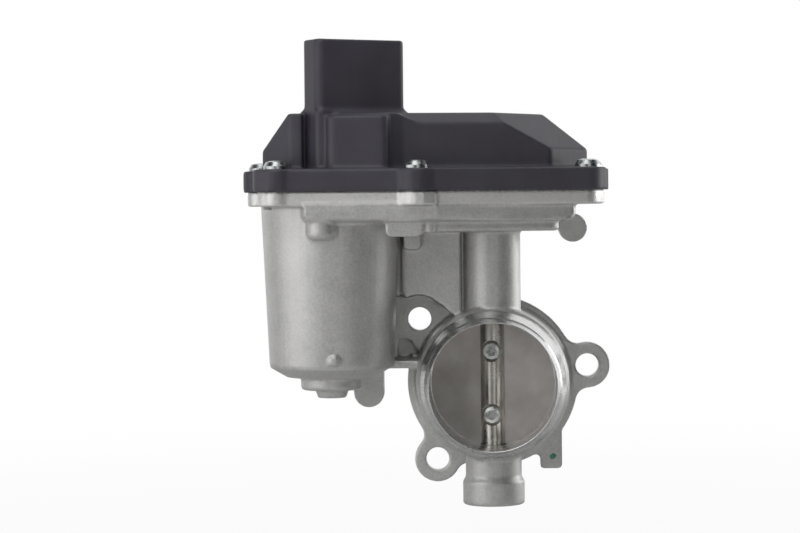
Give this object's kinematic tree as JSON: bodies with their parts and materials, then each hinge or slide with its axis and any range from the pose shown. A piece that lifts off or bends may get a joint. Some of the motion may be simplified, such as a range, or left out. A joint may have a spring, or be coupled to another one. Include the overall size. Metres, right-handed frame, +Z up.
{
  "type": "exhaust gas recirculation valve",
  "caption": "Motor-driven flap valve: a die-cast housing with gas bore, spigot and flange, a geared actuator under a plastic cover with an upright plug shell.",
  "frame": {"origin": "where the gas bore's axis meets the mounting flange's back face", "axes": "+Y out of the mounting flange's back face along the bore, +Z up along the valve shaft towards the gearbox, +X to the right seen from the spigot"},
  "size_m": [0.1121, 0.0685, 0.1385],
  "materials": {
    "valve_body": "shot-blasted die casting",
    "gearbox_cover": "fine moulded grain",
    "cover_seal": "smooth",
    "cover_screws": "zinc plated",
    "connector_terminals": "tin plated",
    "sensor_board": "lacquered",
    "sensor_magnet": "sintered magnet",
    "motor_case": "drawn and zinc plated",
    "motor_magnets": "ferrite",
    "motor_armature": "laminated core and winding",
    "motor_bushes": "sintered",
    "motor_end_cap": "moulded",
    "motor_terminals": "tin plated",
    "motor_screws": "zinc plated",
    "motor_wave_washer": "spring steel",
    "motor_pinion": "hobbed",
    "idler_pin": "ground",
    "idler_gear": "moulded",
    "sector_gear": "glass-filled moulding",
    "sector_hub": "turned",
    "return_spring": "spring steel",
    "upper_bearing": "ground",
    "shaft_seal": "smooth",
    "lower_bush": "sintered",
    "end_plug": "pressed",
    "valve_shaft": "turned stainless steel",
    "valve_plate": "stainless sheet",
    "plate_screws": "zinc plated"
  },
  "bodies": {
    "housing": {"valve_body": "valve_body", "gearbox_cover": "gearbox_cover", "cover_seal": "cover_seal", "cover_screws": "cover_screws", "connector_terminals": "connector_terminals", "sensor_board": "sensor_board", "motor_case": "motor_case", "motor_magnets": "motor_magnets", "motor_bushes": "motor_bushes", "motor_end_cap": "motor_end_cap", "motor_terminals": "motor_terminals", "motor_screws": "motor_screws", "motor_wave_washer": "motor_wave_washer", "idler_pin": "idler_pin", "return_spring": "return_spring", "upper_bearing": "upper_bearing", "shaft_seal": "shaft_seal", "lower_bush": "lower_bush", "end_plug": "end_plug"},
    "rotor": {"motor_armature": "motor_armature", "motor_pinion": "motor_pinion"},
    "idler": {"idler_gear": "idler_gear"},
    "valve": {"valve_shaft": "valve_shaft", "valve_plate": "valve_plate", "plate_screws": "plate_screws", "sector_hub": "sector_hub", "sector_gear": "sector_gear", "sensor_magnet": "sensor_magnet"}
  },
  "joints": [
    {"name": "rotor_turn", "type": "hinge", "parent": "housing", "child": "rotor", "pos_m": [-0.0479, -0.0185, 0.05], "axis": [0, 0, -1], "range_deg": [0, 720]},
    {"name": "idler_turn", "type": "hinge", "parent": "housing", "child": "idler", "pos_m": [-0.02583, -0.00906, 0.06], "axis": [0, 0, -1], "range_deg": [-180, 0]},
    {"name": "valve_turn", "type": "hinge", "parent": "housing", "child": "valve", "pos_m": [0, -0.012, 0], "axis": [0, 0, -1], "range_deg": [0, 80]}
  ],
  "couplings": [
    {"joint": "idler_turn", "follows": "rotor_turn", "ratio": -0.25},
    {"joint": "valve_turn", "follows": "rotor_turn", "ratio": 0.11111}
  ]
}
